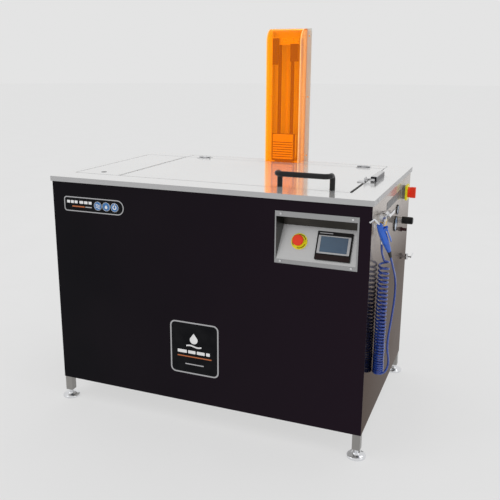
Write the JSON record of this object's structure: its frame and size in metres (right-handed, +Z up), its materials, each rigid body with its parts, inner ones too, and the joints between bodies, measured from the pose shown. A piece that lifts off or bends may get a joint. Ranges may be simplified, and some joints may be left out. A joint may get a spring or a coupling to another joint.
{
  "type": "parts washer tank",
  "caption": "Stainless immersion parts washer on levelling feet, with a hinged lid, a guarded lift for the work platform, a sloping control console and a blow gun on a spiral hose.",
  "frame": {"origin": "on the floor, under the middle of the cabinet's box (the hose and gun not counted)", "axes": "+Z up, -Y to the front with the control console, +X to the side with the air fittings"},
  "size_m": [1.3817, 0.8708, 1.568],
  "materials": {
    "stainless": "brushed, near mirror",
    "black_panel": "satin black powder coat",
    "frame_steel": "satin",
    "bright_steel": "polished",
    "black_plastic": "satin",
    "rubber_seal": "matte",
    "guard_orange": "clear tinted sheet",
    "machined_aluminium": "machined",
    "estop_red": "gloss",
    "safety_yellow": "gloss",
    "hmi_grey": "fine textured",
    "screen": "gloss display",
    "badge": "printed label",
    "gauge": "black rim",
    "brass_plated": "nickel plated",
    "hose_blue": "translucent blue polyurethane",
    "pump_paint": "hammered paint"
  },
  "bodies": {
    "cabinet": {"feet": "bright_steel", "frame_posts": "frame_steel", "frame_rails": "frame_steel", "front_panel": "black_panel", "left_side_panel": "stainless", "right_side_panel": "stainless", "rear_panel": "stainless", "floor_pan": "stainless", "worktop": "stainless", "wash_tank": "stainless", "transducers": "machined_aluminium", "ultrasonic_generator": "machined_aluminium", "filter_tank": "stainless", "pump": "pump_paint", "drain_pipe": "bright_steel", "console_housing": "stainless", "casing_screws": "bright_steel", "hmi_housing": "hmi_grey", "hmi_screen": "screen", "estop_base": "safety_yellow", "front_badges": "badge", "lift_column": "stainless", "lift_guard": "guard_orange", "guide_rods": "bright_steel", "lift_cylinder": "bright_steel", "lift_end_blocks": "machined_aluminium", "lift_valve": "black_plastic", "hinge_leaves_fixed": "bright_steel", "hinge_pins": "bright_steel", "lid_lock": "machined_aluminium", "isolator_base": "hmi_grey", "isolator_plate": "safety_yellow", "panel_gauges": "gauge", "regulator_neck": "bright_steel", "air_inlet": "brass_plated", "air_valve_body": "bright_steel", "quick_coupler": "brass_plated", "gun_hook": "bright_steel", "outlet_valve_body": "bright_steel", "hose_tail_upper": "hose_blue", "hose_coil": "hose_blue", "hose_tail_lower": "hose_blue", "blow_gun_body": "hose_blue", "blow_gun_nozzle": "bright_steel"},
    "lid": {"lid": "stainless", "lid_gasket": "rubber_seal", "lid_handle": "black_plastic", "lid_lock_key": "bright_steel", "hinge_leaves_lid": "bright_steel"},
    "lift": {"lift_carriage": "machined_aluminium", "carriage_face": "machined_aluminium", "lift_hanger": "stainless", "lift_platform": "stainless"},
    "cover": {"left_cover": "stainless"},
    "estop": {"estop_button": "estop_red"},
    "isolator": {"isolator_handle": "estop_red"},
    "regulator": {"regulator_knob": "black_plastic"},
    "air_lever": {"air_valve_lever": "bright_steel"},
    "outlet_lever": {"outlet_valve_lever": "bright_steel"},
    "trigger": {"gun_trigger": "black_plastic"}
  },
  "joints": [
    {"name": "lid_hinge", "type": "hinge", "parent": "cabinet", "child": "lid", "pos_m": [0.0575, 0.313, 0.9795], "axis": [-1, 0, 0], "range_deg": [0, 85]},
    {"name": "lift_slide", "type": "slide", "parent": "cabinet", "child": "lift", "axis": [0, 0, 1], "range_m": [0, 0.3]},
    {"name": "cover_lift", "type": "slide", "parent": "cabinet", "child": "cover", "axis": [0, 0, 1], "range_m": [0, 0.12]},
    {"name": "estop_press", "type": "slide", "parent": "cabinet", "child": "estop", "axis": [0, 0.8916, -0.4529], "range_m": [0, 0.005], "stiffness_N_per_m": 500},
    {"name": "isolator_turn", "type": "hinge", "parent": "cabinet", "child": "isolator", "pos_m": [0.6625, 0.23, 0.893], "axis": [1, 0, 0], "range_deg": [0, 90]},
    {"name": "regulator_turn", "type": "hinge", "parent": "cabinet", "child": "regulator", "pos_m": [0.6405, 0.191, 0.78], "axis": [1, 0, 0], "range_deg": [0, 300]},
    {"name": "air_valve_turn", "type": "hinge", "parent": "cabinet", "child": "air_lever", "pos_m": [0.6705, -0.293, 0.9], "axis": [1, 0, 0], "range_deg": [0, 90]},
    {"name": "outlet_valve_turn", "type": "hinge", "parent": "cabinet", "child": "outlet_lever", "pos_m": [0.6655, 0.355, 0.578], "axis": [1, 0, 0], "range_deg": [0, 90]},
    {"name": "trigger_squeeze", "type": "hinge", "parent": "cabinet", "child": "trigger", "pos_m": [0.67831, -0.38816, 0.8767], "axis": [-0.1289, 0.8439, 0.5208], "range_deg": [0, 4], "stiffness_Nm_per_rad": 0.6}
  ]
}
